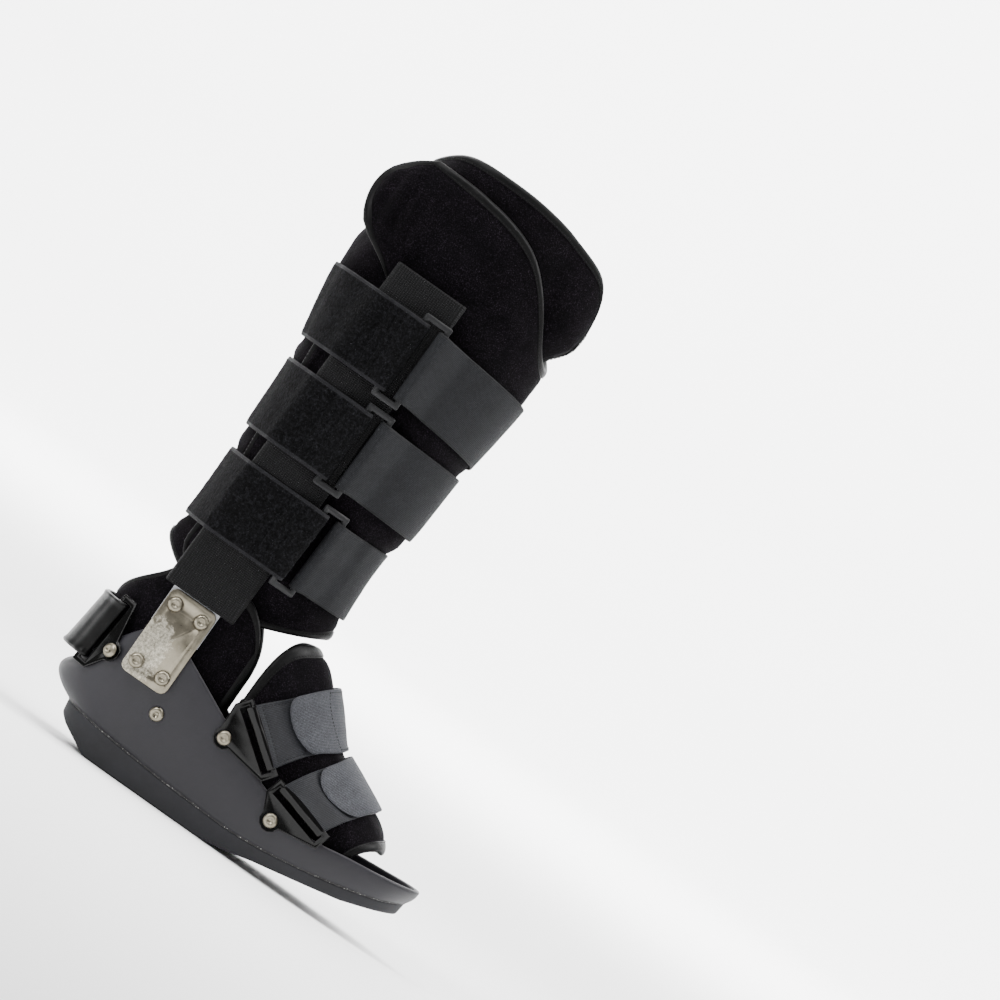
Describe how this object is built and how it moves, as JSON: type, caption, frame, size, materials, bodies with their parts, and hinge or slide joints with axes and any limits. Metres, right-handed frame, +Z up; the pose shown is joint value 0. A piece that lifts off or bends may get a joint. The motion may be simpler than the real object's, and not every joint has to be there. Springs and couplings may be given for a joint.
{
  "type": "ankle walker boot",
  "caption": "Right ankle walker boot: rigid shell on a rocker sole, riveted uprights, padded wraps and strap closures round an open leg and foot hollow.",
  "frame": {"origin": "on the floor under the axis of the leg, on the sole's flat underside", "axes": "+X towards the toe, +Y towards the inner (medial) side, +Z up the leg"},
  "size_m": [0.286, 0.1564, 0.4604],
  "materials": {
    "shell_plastic": "charcoal moulded plastic with a fine matte grain",
    "sole_rubber": "mid grey matte rubber",
    "foam": "black foam with a cloth face",
    "liner": "black padded cloth with a fine nap",
    "webbing": "black ribbed webbing",
    "loop_pile": "black fuzzy loop pile",
    "hook_tape": "dark grey fine ribbed hook tape",
    "nylon": "dark grey moulded nylon",
    "vinyl": "glossy black vinyl",
    "aluminium": "plain aluminium",
    "nickel": "nickel plated steel, finely scratched"
  },
  "bodies": {
    "root": {"leg_wrap": "liner", "ankle_wrap": "liner", "instep_wrap": "liner", "shell": "shell_plastic", "outsole": "sole_rubber", "insole": "foam", "upright_lateral": "aluminium", "sleeve_lateral": "webbing", "plate_lateral": "nickel", "upright_medial": "aluminium", "sleeve_medial": "webbing", "plate_medial": "nickel", "calf_strap_top": "loop_pile", "calf_tab_top": "hook_tape", "ring_top": "nylon", "calf_strap_mid": "loop_pile", "calf_tab_mid": "hook_tape", "ring_mid": "nylon", "calf_strap_bottom": "loop_pile", "calf_tab_bottom": "hook_tape", "ring_bottom": "nylon", "foot_strap_rear": "webbing", "foot_tab_rear": "hook_tape", "foot_chafe_rear_lateral": "vinyl", "foot_chafe_rear_medial": "vinyl", "foot_strap_front": "webbing", "foot_tab_front": "hook_tape", "foot_chafe_front_lateral": "vinyl", "foot_chafe_front_medial": "vinyl", "heel_strap": "vinyl", "heel_chafe_lateral": "vinyl", "heel_chafe_medial": "vinyl", "rivet_shell_lateral": "nickel", "rivet_heel_lateral": "nickel", "rivet_foot_rear_lateral": "nickel", "rivet_foot_front_lateral": "nickel", "rivet_plate_lateral_rear_high": "nickel", "rivet_plate_lateral_rear_low": "nickel", "rivet_plate_lateral_front_high": "nickel", "rivet_plate_lateral_front_low": "nickel", "rivet_shell_medial": "nickel", "rivet_heel_medial": "nickel", "rivet_foot_rear_medial": "nickel", "rivet_foot_front_medial": "nickel", "rivet_plate_medial_rear_high": "nickel", "rivet_plate_medial_rear_low": "nickel", "rivet_plate_medial_front_high": "nickel", "rivet_plate_medial_front_low": "nickel"}
  },
  "joints": []
}
